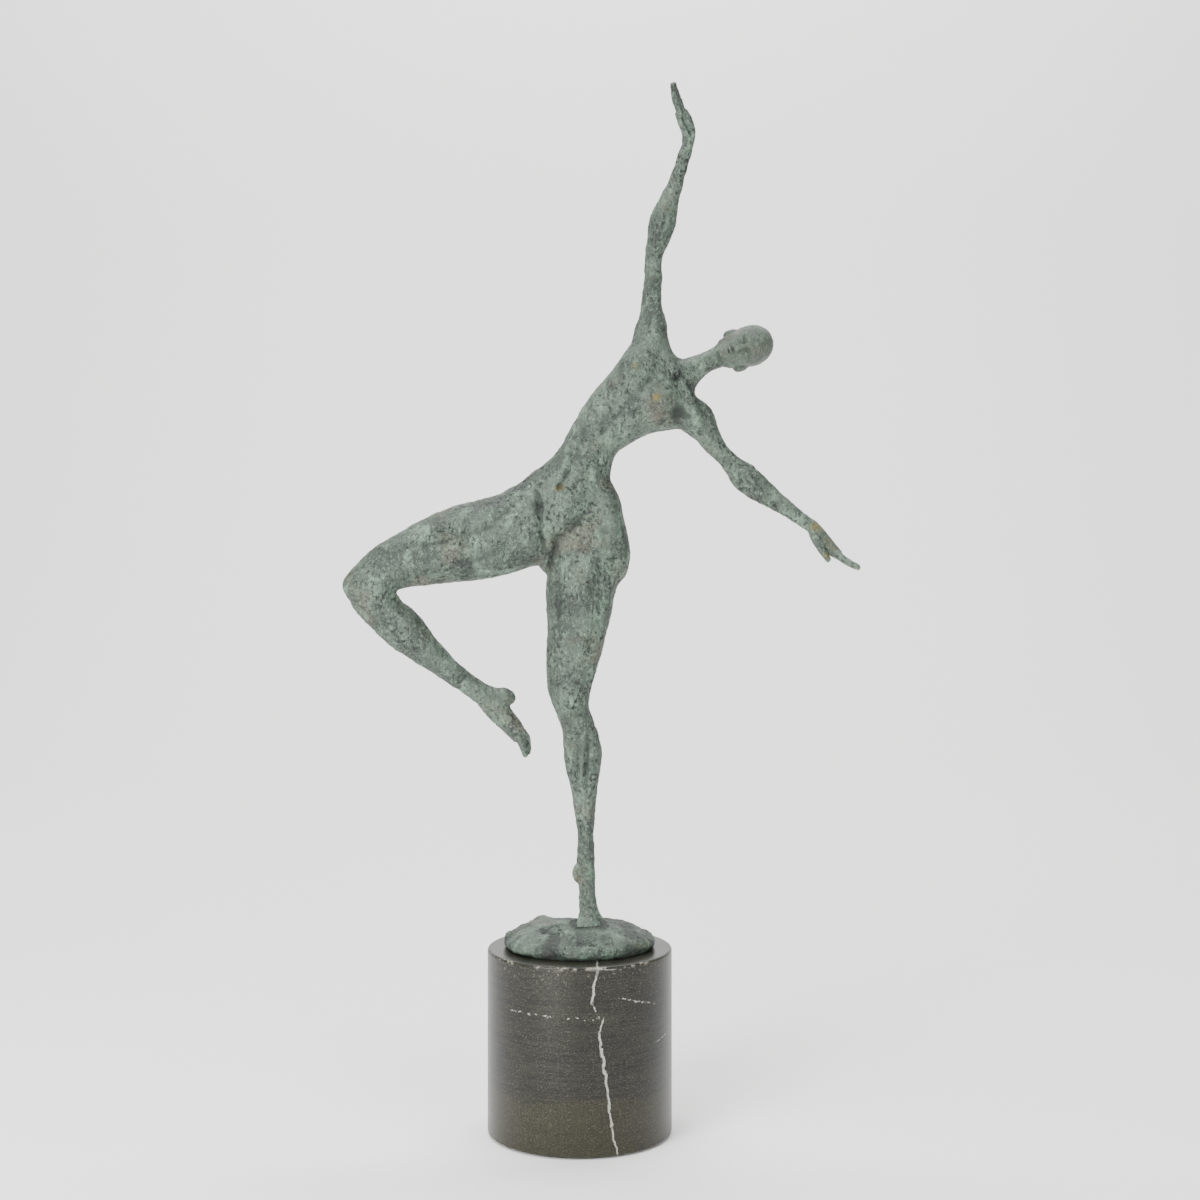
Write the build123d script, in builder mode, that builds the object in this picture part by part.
from build123d import *
import os
from math import cos, pi, sin

# Bronze dancer on a marble drum. Millimetres, +Z up, the figure faces -Y.
# The origin is the middle of the underside, where the felt meets the shelf.
#
# The figure is cast in six pieces that are welded edge to edge: a trunk, a head,
# two arms and two legs. Each casting is a run of sections along a line of stations.
# A station is (x, y, z, across, front, back): the middle of the section, its half
# width across the limb, and how far it reaches towards the front and to the back.

# Base
FELT_THICK = 1.0
FELT_RADIUS = 46.5
DRUM_RADIUS = 50.0
DRUM_TOP = 100.0
DRUM_EDGE = 1.2
COUNTERBORE_RADIUS = 16.0
COUNTERBORE_TOP = 24.0
STUD_BORE_RADIUS = 4.5

# Mound: a hollow cap with a boss inside for the stud and the pin of the foot
MOUND_TOP = DRUM_TOP + 13.8
MOUND_HALF_X = 41.0
MOUND_HALF_Y = 36.0
MOUND_SHOULDER = 8.0
MOUND_FOOT_EDGE = 1.2
MOUND_WALL = 4.0
MOUND_CEILING = DRUM_TOP + 7.0
BOSS_RADIUS = 13.5

# Fasteners under the drum, M8
STUD_RADIUS = 4.0
STUD_TOP = DRUM_TOP + 10.0
STUD_BOTTOM = 8.0
STUD_CHAMFER = 0.8
WASHER_RADIUS = 12.0
WASHER_BORE = 4.2
WASHER_THICK = 2.0
SPRING_WASHER_RADIUS = 7.4
SPRING_WASHER_THICK = 2.2
SPRING_WASHER_SLOT = 1.4
NUT_FLATS = 13.0
NUT_THICK = 6.8

# Pins and sleeves at the welds
ARM_DOWEL = (2.2, 9.0)  # radius, reach to each side of the weld
NECK_DOWEL = (2.5, 8.0)
FOOT_PIN_RADIUS = 1.8
FOOT_PIN_SPAN = (DRUM_TOP + 3.0, DRUM_TOP + 25.0)
FOOT_PIN_XY = (5.4, -6.2)
SLEEVE_RADIUS = 12.0
SLEEVE_WALL = 2.5
SLEEVE_REACH = 8.0

CAST_WALL = 4.0
COLLAR = 3.0
SECTION_POINTS = 12

# Weld planes: station, and the direction that the limb leaves the trunk in
NECK_WELD = (64.5, 0.5, 415.0, 6.6, 6.2, 6.6)
NECK_OUT = (0.86, 0, 0.51)
RAISED_SHOULDER_WELD = (39.2, 2.0, 440.0, 7.5, 6.8, 7.2)
RAISED_SHOULDER_OUT = (0, 0.05, 1)
LOWERED_SHOULDER_WELD = (69.0, 2.0, 380.4, 6.8, 6.4, 6.8)
LOWERED_SHOULDER_OUT = (0.68, 0.08, -0.73)
RAISED_HIP_WELD = (-29.6, -1.0, 327.6, 22.1, 18.0, 19.0)
RAISED_HIP_OUT = (-0.96, -0.10, -0.27)
STANDING_HIP_WELD = (2.5, 2.0, 300.0, 20.0, 18.5, 20.0)
STANDING_HIP_OUT = (-0.1, 0, -1)



def collar(station, way, reach):
    """The weld's own section, moved along the limb to keep the skin square to it."""
    length = sum(part * part for part in way) ** 0.5
    moved = [place + reach * part / length for place, part in zip(station, way)]
    return (*moved, *station[3:])


# Trunk: one run from the shoulders down to the standing hip, and the branches
STANDING_SIDE = [
    (55.0, 0.0, 410.0, 13.0, 8.5, 9.5),
    (48.5, -0.5, 408.0, 23.0, 13.0, 13.5),
    (41.5, -1.0, 405.0, 26.2, 16.5, 15.5),
    (34.5, -1.0, 400.0, 22.8, 17.0, 15.5),
    (28.2, -1.0, 395.5, 19.8, 16.0, 14.5),
    (15.4, -1.0, 385.2, 16.6, 13.5, 12.5),
    (5.9, -0.5, 372.9, 14.0, 12.5, 11.5),
    (2.3, 0.5, 361.0, 14.8, 13.5, 13.0),
    (0.5, 1.5, 349.0, 18.5, 15.0, 17.0),
    (1.8, 2.5, 336.0, 21.6, 16.0, 20.0),
    (4.3, 2.5, 317.0, 22.8, 17.5, 21.5),
    collar(STANDING_HIP_WELD, STANDING_HIP_OUT, -COLLAR),
    STANDING_HIP_WELD,
]
RAISED_SIDE = [
    (5.9, -0.5, 372.9, 12.0, 11.0, 10.5),
    (-1.0, 0.0, 358.5, 15.6, 13.0, 12.5),
    (-9.5, 0.5, 346.0, 19.0, 15.0, 16.5),
    (-19.5, -0.2, 336.0, 20.6, 16.8, 18.5),
    collar(RAISED_HIP_WELD, RAISED_HIP_OUT, -COLLAR),
    RAISED_HIP_WELD,
]
RAISED_SIDE_WAYS = [
    (-0.42, 0, -0.91),
    (-0.59, 0, -0.81),
    (-0.77, 0, -0.64),
    (-0.88, -0.05, -0.48),
    RAISED_HIP_OUT,
    RAISED_HIP_OUT,
]
RAISED_SHOULDER = [
    (37.0, 0.0, 406.0, 17.0, 12.0, 12.5),
    (37.4, 0.5, 418.0, 13.6, 10.5, 11.5),
    (38.5, 1.2, 428.5, 9.9, 8.8, 9.6),
    collar(RAISED_SHOULDER_WELD, RAISED_SHOULDER_OUT, -COLLAR),
    RAISED_SHOULDER_WELD,
]
LOWERED_SHOULDER = [
    (50.0, 0.5, 401.0, 14.0, 11.5, 12.0),
    (59.5, 1.0, 391.2, 11.0, 10.0, 10.5),
    collar(LOWERED_SHOULDER_WELD, LOWERED_SHOULDER_OUT, -COLLAR),
    LOWERED_SHOULDER_WELD,
]
NECK_ROOT = [
    (49.0, 0.0, 406.0, 14.0, 9.5, 10.5),
    (57.0, 0.2, 410.6, 9.0, 7.8, 8.6),
    collar(NECK_WELD, NECK_OUT, -COLLAR),
    NECK_WELD,
]
BREASTS = [(30.0, -10.5, 414.5), (41.5, -11.5, 398.0)]
BREAST_RADIUS = 8.5

# Limbs, each from its weld outwards
HEAD = [
    NECK_WELD,
    collar(NECK_WELD, NECK_OUT, COLLAR),
    (70.0, 1.0, 418.2, 5.4, 5.6, 6.2),
    (75.4, 1.5, 421.2, 6.6, 8.0, 8.2),
    (80.0, 0.5, 422.9, 9.8, 12.0, 11.6),
    (87.5, 0.5, 425.4, 11.2, 12.8, 13.0),
    (95.0, 0.5, 427.6, 10.9, 12.4, 12.8),
    (101.2, 0.5, 429.5, 7.6, 8.8, 9.4),
    (104.6, 0.5, 430.6, 2.2, 2.6, 2.8),
]
RAISED_ARM = [
    RAISED_SHOULDER_WELD,
    collar(RAISED_SHOULDER_WELD, RAISED_SHOULDER_OUT, COLLAR),
    (39.0, 3.0, 449.0, 5.5, 5.2, 5.4),
    (40.1, 4.5, 463.0, 5.0, 4.8, 5.0),
    (40.6, 5.5, 476.0, 5.0, 4.6, 5.0),
    (43.6, 5.0, 489.0, 7.1, 5.6, 6.0),
    (47.6, 3.5, 503.0, 6.0, 5.0, 5.2),
    (53.2, 1.0, 519.0, 3.6, 3.2, 3.4),
    (58.0, -1.0, 535.0, 3.4, 2.6, 2.8),
    (56.8, -2.0, 547.0, 4.1, 2.4, 2.6),
    (53.4, -3.5, 557.0, 3.6, 2.0, 2.2),
    (51.5, -5.0, 569.4, 1.4, 1.1, 1.2),
]
LOWERED_ARM = [
    LOWERED_SHOULDER_WELD,
    collar(LOWERED_SHOULDER_WELD, LOWERED_SHOULDER_OUT, COLLAR),
    (73.4, 3.2, 372.6, 5.6, 5.4, 5.6),
    (79.5, 4.5, 366.0, 4.9, 4.7, 4.9),
    (90.5, 4.0, 354.6, 7.5, 6.2, 6.4),
    (103.0, 2.0, 344.8, 5.9, 5.0, 5.4),
    (116.5, 0.0, 335.6, 3.9, 3.2, 3.6),
    (126.0, -1.5, 328.2, 3.7, 2.8, 3.0),
    (134.0, -2.5, 318.8, 4.4, 3.2, 3.2),
    (142.0, -3.5, 312.4, 2.8, 4.0, 3.6),
    (151.0, -4.5, 307.2, 1.2, 2.2, 2.2),
]
RAISED_THIGH = [
    RAISED_HIP_WELD,
    collar(RAISED_HIP_WELD, RAISED_HIP_OUT, COLLAR),
    (-51.0, -3.4, 322.0, 21.6, 17.0, 18.0),
    (-73.0, -6.2, 316.6, 19.2, 15.0, 16.5),
    (-93.0, -9.0, 310.4, 15.2, 12.5, 14.0),
    (-107.0, -10.5, 304.6, 13.0, 11.5, 11.8),
    (-116.0, -11.0, 299.8, 10.0, 9.0, 9.0),
]
KNEE = (-116.9, -11.0, 296.6)
KNEE_RADIUS = 11.7
RAISED_SHIN = [
    (-113.5, -11.0, 297.0, 9.0, 9.0, 9.0),
    (-112.0, -10.6, 290.0, 12.4, 10.5, 10.8),
    (-104.6, -9.5, 280.2, 11.3, 9.5, 10.0),
    (-92.9, -6.5, 270.0, 10.7, 9.0, 9.5),
    (-79.0, -3.5, 257.4, 7.5, 7.0, 7.5),
    (-64.1, -1.0, 245.2, 5.6, 5.4, 5.6),
    (-51.5, 0.5, 236.5, 6.6, 5.2, 5.4),
    (-42.5, 1.0, 229.5, 7.6, 5.0, 5.2),
    (-36.6, 1.0, 219.5, 5.2, 5.4, 5.4),
    (-30.8, 1.0, 210.0, 3.4, 5.2, 5.2),
    (-28.6, 1.0, 204.6, 1.6, 3.4, 3.4),
]
STANDING_LEG = [
    STANDING_HIP_WELD,
    collar(STANDING_HIP_WELD, STANDING_HIP_OUT, COLLAR),
    (-0.1, 0.5, 286.5, 18.2, 17.0, 17.5),
    (-2.3, -0.5, 271.0, 15.0, 15.5, 15.0),
    (-4.4, -1.5, 254.0, 13.2, 13.5, 12.5),
    (-5.2, -2.0, 240.0, 11.6, 11.5, 10.5),
    (-2.8, -1.0, 226.0, 8.7, 9.5, 9.0),
    (0.0, 1.0, 215.0, 9.3, 8.0, 10.5),
    (1.6, 2.5, 204.0, 10.3, 7.5, 12.0),
    (2.1, 2.5, 189.5, 7.8, 6.5, 9.0),
    (2.9, 1.5, 173.0, 5.7, 5.5, 6.0),
    (3.1, 1.0, 158.0, 4.5, 4.6, 4.8),
    (2.4, 1.0, 144.5, 5.8, 5.4, 9.5),
    (3.4, -1.0, 133.0, 5.0, 5.6, 8.0),
    (4.4, -3.5, 122.0, 5.4, 6.5, 5.5),
    (5.0, -5.0, MOUND_TOP, 7.0, 9.5, 6.0),
]


def section_planes(stations, start_way=None, end_way=None, ways=None):
    """A plane at each station, square to its way along the limb.

    The ways are given, or else each one is the line through the station's
    neighbours. Local x runs across the limb and local y to the back of the figure.
    """
    middles = [Vector(*station[:3]) for station in stations]
    if ways is None:
        ways = [
            middles[min(i + 1, len(middles) - 1)] - middles[max(i - 1, 0)]
            for i in range(len(middles))
        ]
    ways = [Vector(*way) for way in ways]
    if start_way:
        ways[0] = Vector(*start_way)
    if end_way:
        ways[-1] = Vector(*end_way)
    return [
        Plane(origin=middle, x_dir=Vector(0, 1, 0).cross(way), z_dir=way)
        for middle, way in zip(middles, ways)
    ]


def weld_plane(station, way):
    """The plane in which a limb's casting meets the trunk's."""
    return section_planes([station, station], way, way)[0]


def cast_run(
    stations, start_way=None, end_way=None, ways=None, inset=0.0, mode=Mode.ADD
):
    """Loft a run of rounded sections, drawn in by inset, into the open part."""
    planes = section_planes(stations, start_way, end_way, ways)
    sections = []
    for plane, (_, _, _, across, front, back) in zip(planes, stations):
        with BuildSketch(plane) as section:
            with BuildLine():
                outline = []
                for i in range(SECTION_POINTS):
                    turn = 2 * pi * i / SECTION_POINTS
                    deep = back if sin(turn) > 0 else front
                    outline.append(
                        ((across - inset) * cos(turn), (deep - inset) * sin(turn))
                    )
                Spline(*outline, periodic=True)
            make_face()
        sections.append(section.sketch)
    loft(sections, mode=mode)


def peg(plane, radius, start, end, mode=Mode.ADD):
    """A round rod square to a plane, between two distances from it."""
    with BuildSketch(plane.offset(start)) as disc:
        Circle(radius)
    extrude(disc.sketch, amount=end - start, mode=mode)


NECK_PLANE = weld_plane(NECK_WELD, NECK_OUT)
RAISED_SHOULDER_PLANE = weld_plane(RAISED_SHOULDER_WELD, RAISED_SHOULDER_OUT)
LOWERED_SHOULDER_PLANE = weld_plane(LOWERED_SHOULDER_WELD, LOWERED_SHOULDER_OUT)
RAISED_HIP_PLANE = weld_plane(RAISED_HIP_WELD, RAISED_HIP_OUT)
STANDING_HIP_PLANE = weld_plane(STANDING_HIP_WELD, STANDING_HIP_OUT)
FOOT_PIN_PLANE = Plane.XY.move(Location((*FOOT_PIN_XY, 0)))

# ---------------------------------------------------------------- base

with BuildPart() as felt_pad:
    with BuildSketch(Plane.XY):
        Circle(FELT_RADIUS)
    extrude(amount=FELT_THICK)

with BuildPart() as marble_drum:
    with BuildSketch(Plane.XY.offset(FELT_THICK)):
        Circle(DRUM_RADIUS)
    extrude(amount=DRUM_TOP - FELT_THICK)
    fillet(marble_drum.edges().filter_by(GeomType.CIRCLE), DRUM_EDGE)
    peg(Plane.XY, STUD_BORE_RADIUS, 0, DRUM_TOP, Mode.SUBTRACT)
    peg(Plane.XY, COUNTERBORE_RADIUS, FELT_THICK, COUNTERBORE_TOP, Mode.SUBTRACT)

with BuildPart() as mound:
    with BuildSketch(Plane.XY.offset(DRUM_TOP)):
        Ellipse(MOUND_HALF_X, MOUND_HALF_Y)
    extrude(amount=MOUND_TOP - DRUM_TOP)
    fillet(mound.faces().sort_by(Axis.Z)[-1].edges(), MOUND_SHOULDER)
    fillet(mound.faces().sort_by(Axis.Z)[0].edges(), MOUND_FOOT_EDGE)
    with BuildSketch(Plane.XY.offset(DRUM_TOP)):
        Ellipse(MOUND_HALF_X - MOUND_WALL, MOUND_HALF_Y - MOUND_WALL)
        Circle(BOSS_RADIUS, mode=Mode.SUBTRACT)
    extrude(amount=MOUND_CEILING - DRUM_TOP, mode=Mode.SUBTRACT)
    peg(Plane.XY, STUD_RADIUS, DRUM_TOP, STUD_TOP, Mode.SUBTRACT)
    peg(FOOT_PIN_PLANE, FOOT_PIN_RADIUS, FOOT_PIN_SPAN[0], MOUND_TOP, Mode.SUBTRACT)

# ---------------------------------------------------------------- fasteners

with BuildPart() as mounting_stud:
    peg(Plane.XY, STUD_RADIUS, STUD_BOTTOM, STUD_TOP)
    chamfer(mounting_stud.edges().filter_by(GeomType.CIRCLE), STUD_CHAMFER)

with BuildPart() as plain_washer:
    with BuildSketch(Plane.XY.offset(COUNTERBORE_TOP - WASHER_THICK)):
        Circle(WASHER_RADIUS)
        Circle(WASHER_BORE, mode=Mode.SUBTRACT)
    extrude(amount=WASHER_THICK)

spring_washer_top = COUNTERBORE_TOP - WASHER_THICK
with BuildPart() as spring_washer:
    with BuildSketch(Plane.XY.offset(spring_washer_top - SPRING_WASHER_THICK)):
        Circle(SPRING_WASHER_RADIUS)
        Circle(WASHER_BORE, mode=Mode.SUBTRACT)
        with Locations((SPRING_WASHER_RADIUS, 0)):
            Rectangle(
                SPRING_WASHER_RADIUS * 2, SPRING_WASHER_SLOT, 30, mode=Mode.SUBTRACT
            )
    extrude(amount=SPRING_WASHER_THICK)

nut_top = spring_washer_top - SPRING_WASHER_THICK
with BuildPart() as hex_nut:
    with BuildSketch(Plane.XY.offset(nut_top - NUT_THICK)):
        RegularPolygon(NUT_FLATS / 2, 6, major_radius=False)
        Circle(STUD_RADIUS, mode=Mode.SUBTRACT)
    extrude(amount=NUT_THICK)

# ---------------------------------------------------------------- castings

with BuildPart() as torso:
    cast_run(STANDING_SIDE, end_way=STANDING_HIP_OUT)
    cast_run(RAISED_SIDE, ways=RAISED_SIDE_WAYS)
    cast_run(RAISED_SHOULDER, end_way=RAISED_SHOULDER_OUT)
    cast_run(LOWERED_SHOULDER, end_way=LOWERED_SHOULDER_OUT)
    cast_run(NECK_ROOT, end_way=NECK_OUT)
    with Locations(*BREASTS):
        Sphere(BREAST_RADIUS)
    cast_run(STANDING_SIDE[3:-2], inset=CAST_WALL, mode=Mode.SUBTRACT)
    cast_run(
        RAISED_SIDE[1:-2],
        ways=RAISED_SIDE_WAYS[1:-2],
        inset=CAST_WALL,
        mode=Mode.SUBTRACT,
    )
    peg(STANDING_HIP_PLANE, SLEEVE_RADIUS, -SLEEVE_REACH, 0, Mode.SUBTRACT)
    peg(RAISED_HIP_PLANE, SLEEVE_RADIUS, -SLEEVE_REACH, 0, Mode.SUBTRACT)
    peg(STANDING_HIP_PLANE, SLEEVE_RADIUS - SLEEVE_WALL, -24, 0, Mode.SUBTRACT)
    peg(RAISED_HIP_PLANE, SLEEVE_RADIUS - SLEEVE_WALL, -16, 0, Mode.SUBTRACT)
    peg(RAISED_SHOULDER_PLANE, ARM_DOWEL[0], -ARM_DOWEL[1], 0, Mode.SUBTRACT)
    peg(LOWERED_SHOULDER_PLANE, ARM_DOWEL[0], -ARM_DOWEL[1], 0, Mode.SUBTRACT)
    peg(NECK_PLANE, NECK_DOWEL[0], -NECK_DOWEL[1], 0, Mode.SUBTRACT)

with BuildPart() as head:
    cast_run(HEAD, start_way=NECK_OUT)
    peg(NECK_PLANE, NECK_DOWEL[0], 0, NECK_DOWEL[1], Mode.SUBTRACT)

with BuildPart() as raised_arm:
    cast_run(RAISED_ARM, start_way=RAISED_SHOULDER_OUT)
    peg(RAISED_SHOULDER_PLANE, ARM_DOWEL[0], 0, ARM_DOWEL[1], Mode.SUBTRACT)

with BuildPart() as lowered_arm:
    cast_run(LOWERED_ARM, start_way=LOWERED_SHOULDER_OUT)
    peg(LOWERED_SHOULDER_PLANE, ARM_DOWEL[0], 0, ARM_DOWEL[1], Mode.SUBTRACT)

with BuildPart() as raised_leg:
    cast_run(RAISED_THIGH, start_way=RAISED_HIP_OUT)
    cast_run(RAISED_SHIN)
    with Locations(KNEE):
        Sphere(KNEE_RADIUS)
    cast_run(RAISED_THIGH[2:5], inset=CAST_WALL, mode=Mode.SUBTRACT)
    peg(RAISED_HIP_PLANE, SLEEVE_RADIUS, 0, SLEEVE_REACH, Mode.SUBTRACT)
    peg(RAISED_HIP_PLANE, SLEEVE_RADIUS - SLEEVE_WALL, 0, 24, Mode.SUBTRACT)

with BuildPart() as standing_leg:
    cast_run(STANDING_LEG, start_way=STANDING_HIP_OUT, end_way=(0, 0, -1))
    cast_run(STANDING_LEG[2:5], inset=CAST_WALL, mode=Mode.SUBTRACT)
    peg(STANDING_HIP_PLANE, SLEEVE_RADIUS, 0, SLEEVE_REACH, Mode.SUBTRACT)
    peg(STANDING_HIP_PLANE, SLEEVE_RADIUS - SLEEVE_WALL, 0, 18, Mode.SUBTRACT)
    peg(FOOT_PIN_PLANE, FOOT_PIN_RADIUS, MOUND_TOP, FOOT_PIN_SPAN[1], Mode.SUBTRACT)

# ---------------------------------------------------------------- pins and sleeves

with BuildPart() as neck_dowel:
    peg(NECK_PLANE, NECK_DOWEL[0], -NECK_DOWEL[1], NECK_DOWEL[1])

with BuildPart() as raised_shoulder_dowel:
    peg(RAISED_SHOULDER_PLANE, ARM_DOWEL[0], -ARM_DOWEL[1], ARM_DOWEL[1])

with BuildPart() as lowered_shoulder_dowel:
    peg(LOWERED_SHOULDER_PLANE, ARM_DOWEL[0], -ARM_DOWEL[1], ARM_DOWEL[1])

with BuildPart() as foot_pin:
    peg(FOOT_PIN_PLANE, FOOT_PIN_RADIUS, *FOOT_PIN_SPAN)

with BuildPart() as raised_hip_sleeve:
    peg(RAISED_HIP_PLANE, SLEEVE_RADIUS, -SLEEVE_REACH, SLEEVE_REACH)
    peg(
        RAISED_HIP_PLANE,
        SLEEVE_RADIUS - SLEEVE_WALL,
        -SLEEVE_REACH,
        SLEEVE_REACH,
        Mode.SUBTRACT,
    )

with BuildPart() as standing_hip_sleeve:
    peg(STANDING_HIP_PLANE, SLEEVE_RADIUS, -SLEEVE_REACH, SLEEVE_REACH)
    peg(
        STANDING_HIP_PLANE,
        SLEEVE_RADIUS - SLEEVE_WALL,
        -SLEEVE_REACH,
        SLEEVE_REACH,
        Mode.SUBTRACT,
    )

# ---------------------------------------------------------------- export

os.makedirs("parts", exist_ok=True)
for name, piece in {
    "felt_pad": felt_pad,
    "marble_drum": marble_drum,
    "mound": mound,
    "mounting_stud": mounting_stud,
    "plain_washer": plain_washer,
    "spring_washer": spring_washer,
    "hex_nut": hex_nut,
    "torso": torso,
    "head": head,
    "raised_arm": raised_arm,
    "lowered_arm": lowered_arm,
    "raised_leg": raised_leg,
    "standing_leg": standing_leg,
    "neck_dowel": neck_dowel,
    "raised_shoulder_dowel": raised_shoulder_dowel,
    "lowered_shoulder_dowel": lowered_shoulder_dowel,
    "foot_pin": foot_pin,
    "raised_hip_sleeve": raised_hip_sleeve,
    "standing_hip_sleeve": standing_hip_sleeve,
}.items():
    piece.part.label = name
    export_step(piece.part, f"parts/{name}.step")
    box = piece.part.bounding_box()
    print(name, "volume", round(piece.part.volume), "box", box.min, box.max)
